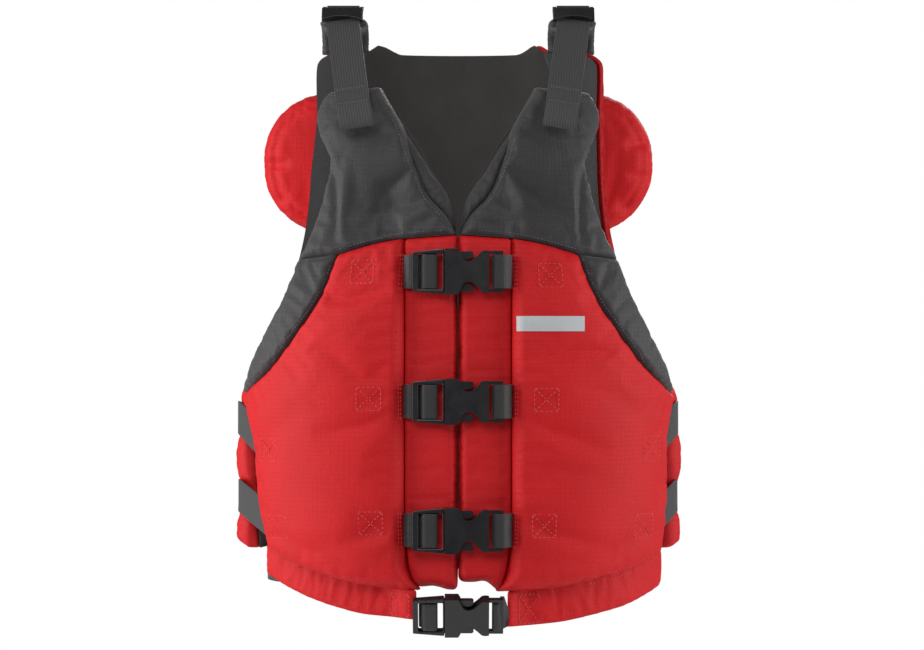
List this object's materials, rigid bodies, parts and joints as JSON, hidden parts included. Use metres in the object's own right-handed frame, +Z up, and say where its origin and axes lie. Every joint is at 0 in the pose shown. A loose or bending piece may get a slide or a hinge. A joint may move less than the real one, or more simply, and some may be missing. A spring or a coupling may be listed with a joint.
{
  "type": "life jacket",
  "caption": "Foam life jacket with a buckled front, webbing side and shoulder straps, ladder lock adjusters and a padded pillow behind the shoulders.",
  "frame": {"origin": "on the middle line of the wearer's torso, level with the lowest edge of the waist buckle", "axes": "+Z up, the wearer faces -Y, +X is the wearer's left"},
  "size_m": [0.532, 0.3707, 0.7289],
  "materials": {
    "red_ripstop": "matte",
    "charcoal_ripstop": "matte",
    "lining_cloth": "matte",
    "buoyant_foam": "matte",
    "webbing": "matte",
    "buckle_plastic": "satin",
    "reflective_tape": "satin"
  },
  "bodies": {
    "back": {"back_shell": "red_ripstop", "back_liner": "lining_cloth", "back_foam": "buoyant_foam", "waist_belt": "webbing", "pillow_tabs": "red_ripstop", "right_shoulder_pad": "charcoal_ripstop", "right_shoulder_anchor": "webbing", "right_side_straps": "webbing", "left_shoulder_pad": "charcoal_ripstop", "left_shoulder_anchor": "webbing", "left_side_straps": "webbing"},
    "pillow": {"pillow_cover": "red_ripstop", "pillow_foam": "buoyant_foam"},
    "right_front": {"right_pouch": "red_ripstop", "right_placket": "red_ripstop", "right_waistband": "red_ripstop", "right_yoke": "charcoal_ripstop", "right_armhole_panel": "charcoal_ripstop", "right_liner": "lining_cloth", "right_foam": "buoyant_foam", "right_shoulder_strap": "webbing", "right_side_tabs": "webbing", "right_front_webbing": "webbing", "top_buckle_tongue": "buckle_plastic", "middle_buckle_tongue": "buckle_plastic", "bottom_buckle_tongue": "buckle_plastic", "waist_buckle_tongue": "buckle_plastic"},
    "right_adjuster": {"right_ladder_lock": "buckle_plastic"},
    "right_tail": {"right_strap_tail": "webbing"},
    "right_upper_side_adjuster": {"right_upper_side_lock": "buckle_plastic"},
    "right_lower_side_adjuster": {"right_lower_side_lock": "buckle_plastic"},
    "left_front": {"left_pouch": "red_ripstop", "left_placket": "red_ripstop", "left_waistband": "red_ripstop", "left_yoke": "charcoal_ripstop", "left_armhole_panel": "charcoal_ripstop", "left_liner": "lining_cloth", "left_foam": "buoyant_foam", "left_shoulder_strap": "webbing", "left_side_tabs": "webbing", "left_front_webbing": "webbing", "top_buckle_socket": "buckle_plastic", "middle_buckle_socket": "buckle_plastic", "bottom_buckle_socket": "buckle_plastic", "waist_buckle_socket": "buckle_plastic", "reflective_mark": "reflective_tape"},
    "left_adjuster": {"left_ladder_lock": "buckle_plastic"},
    "left_tail": {"left_strap_tail": "webbing"},
    "left_upper_side_adjuster": {"left_upper_side_lock": "buckle_plastic"},
    "left_lower_side_adjuster": {"left_lower_side_lock": "buckle_plastic"},
    "top_buckle_upper_prong": {"top_buckle_upper_prong": "buckle_plastic"},
    "top_buckle_lower_prong": {"top_buckle_lower_prong": "buckle_plastic"},
    "middle_buckle_upper_prong": {"middle_buckle_upper_prong": "buckle_plastic"},
    "middle_buckle_lower_prong": {"middle_buckle_lower_prong": "buckle_plastic"},
    "bottom_buckle_upper_prong": {"bottom_buckle_upper_prong": "buckle_plastic"},
    "bottom_buckle_lower_prong": {"bottom_buckle_lower_prong": "buckle_plastic"},
    "waist_buckle_upper_prong": {"waist_buckle_upper_prong": "buckle_plastic"},
    "waist_buckle_lower_prong": {"waist_buckle_lower_prong": "buckle_plastic"}
  },
  "joints": [
    {"name": "right_front_opening", "type": "slide", "parent": "back", "child": "right_front", "axis": [-1, 0, 0], "range_m": [0, 0.03]},
    {"name": "left_front_opening", "type": "slide", "parent": "back", "child": "left_front", "axis": [1, 0, 0], "range_m": [0, 0.03]},
    {"name": "top_buckle_upper_prong_flex", "type": "hinge", "parent": "right_front", "child": "top_buckle_upper_prong", "pos_m": [-0.0064, -0.15363, 0.426], "axis": [0, 1, 0], "range_deg": [0, 8], "stiffness_Nm_per_rad": 0.5},
    {"name": "top_buckle_lower_prong_flex", "type": "hinge", "parent": "right_front", "child": "top_buckle_lower_prong", "pos_m": [-0.0064, -0.15363, 0.394], "axis": [0, -1, 0], "range_deg": [0, 8], "stiffness_Nm_per_rad": 0.5},
    {"name": "middle_buckle_upper_prong_flex", "type": "hinge", "parent": "right_front", "child": "middle_buckle_upper_prong", "pos_m": [-0.0064, -0.15545, 0.28], "axis": [0, 1, 0], "range_deg": [0, 8], "stiffness_Nm_per_rad": 0.5},
    {"name": "middle_buckle_lower_prong_flex", "type": "hinge", "parent": "right_front", "child": "middle_buckle_lower_prong", "pos_m": [-0.0064, -0.15545, 0.248], "axis": [0, -1, 0], "range_deg": [0, 8], "stiffness_Nm_per_rad": 0.5},
    {"name": "bottom_buckle_upper_prong_flex", "type": "hinge", "parent": "right_front", "child": "bottom_buckle_upper_prong", "pos_m": [-0.0064, -0.15373, 0.135], "axis": [0, 1, 0], "range_deg": [0, 8], "stiffness_Nm_per_rad": 0.5},
    {"name": "bottom_buckle_lower_prong_flex", "type": "hinge", "parent": "right_front", "child": "bottom_buckle_lower_prong", "pos_m": [-0.0064, -0.15373, 0.103], "axis": [0, -1, 0], "range_deg": [0, 8], "stiffness_Nm_per_rad": 0.5},
    {"name": "waist_buckle_upper_prong_flex", "type": "hinge", "parent": "right_front", "child": "waist_buckle_upper_prong", "pos_m": [-0.0064, -0.149, 0.03626], "axis": [0, 0.866, 0.5], "range_deg": [0, 8], "stiffness_Nm_per_rad": 0.5},
    {"name": "waist_buckle_lower_prong_flex", "type": "hinge", "parent": "right_front", "child": "waist_buckle_lower_prong", "pos_m": [-0.0064, -0.133, 0.00854], "axis": [0, -0.866, -0.5], "range_deg": [0, 8], "stiffness_Nm_per_rad": 0.5},
    {"name": "right_adjuster_tilt", "type": "hinge", "parent": "back", "child": "right_adjuster", "pos_m": [-0.135, 0.004, 0.721], "axis": [-1, 0, 0], "range_deg": [0, 35]},
    {"name": "right_tail_swing", "type": "hinge", "parent": "right_adjuster", "child": "right_tail", "pos_m": [-0.135, -0.03322, 0.70321], "axis": [-1, 0, 0], "range_deg": [0, 40]},
    {"name": "left_adjuster_tilt", "type": "hinge", "parent": "back", "child": "left_adjuster", "pos_m": [0.135, 0.004, 0.721], "axis": [-1, 0, 0], "range_deg": [0, 35]},
    {"name": "left_tail_swing", "type": "hinge", "parent": "left_adjuster", "child": "left_tail", "pos_m": [0.135, -0.03322, 0.70321], "axis": [-1, 0, 0], "range_deg": [0, 40]},
    {"name": "right_upper_side_adjuster_tilt", "type": "hinge", "parent": "back", "child": "right_upper_side_adjuster", "pos_m": [-0.1883, 0.11598, 0.24], "axis": [0, 0, -1], "range_deg": [0, 30]},
    {"name": "right_lower_side_adjuster_tilt", "type": "hinge", "parent": "back", "child": "right_lower_side_adjuster", "pos_m": [-0.18754, 0.11559, 0.148], "axis": [0, 0, -1], "range_deg": [0, 30]},
    {"name": "left_upper_side_adjuster_tilt", "type": "hinge", "parent": "back", "child": "left_upper_side_adjuster", "pos_m": [0.1883, 0.11598, 0.24], "axis": [0, 0, 1], "range_deg": [0, 30]},
    {"name": "left_lower_side_adjuster_tilt", "type": "hinge", "parent": "back", "child": "left_lower_side_adjuster", "pos_m": [0.18754, 0.11559, 0.148], "axis": [0, 0, 1], "range_deg": [0, 30]},
    {"name": "pillow_fold", "type": "hinge", "parent": "back", "child": "pillow", "pos_m": [0, 0.14572, 0.646], "axis": [1, 0, 0], "range_deg": [0, 100]}
  ],
  "couplings": [
    {"joint": "left_front_opening", "follows": "right_front_opening", "ratio": 1},
    {"joint": "top_buckle_lower_prong_flex", "follows": "top_buckle_upper_prong_flex", "ratio": 1},
    {"joint": "middle_buckle_lower_prong_flex", "follows": "middle_buckle_upper_prong_flex", "ratio": 1},
    {"joint": "bottom_buckle_lower_prong_flex", "follows": "bottom_buckle_upper_prong_flex", "ratio": 1},
    {"joint": "waist_buckle_lower_prong_flex", "follows": "waist_buckle_upper_prong_flex", "ratio": 1}
  ]
}
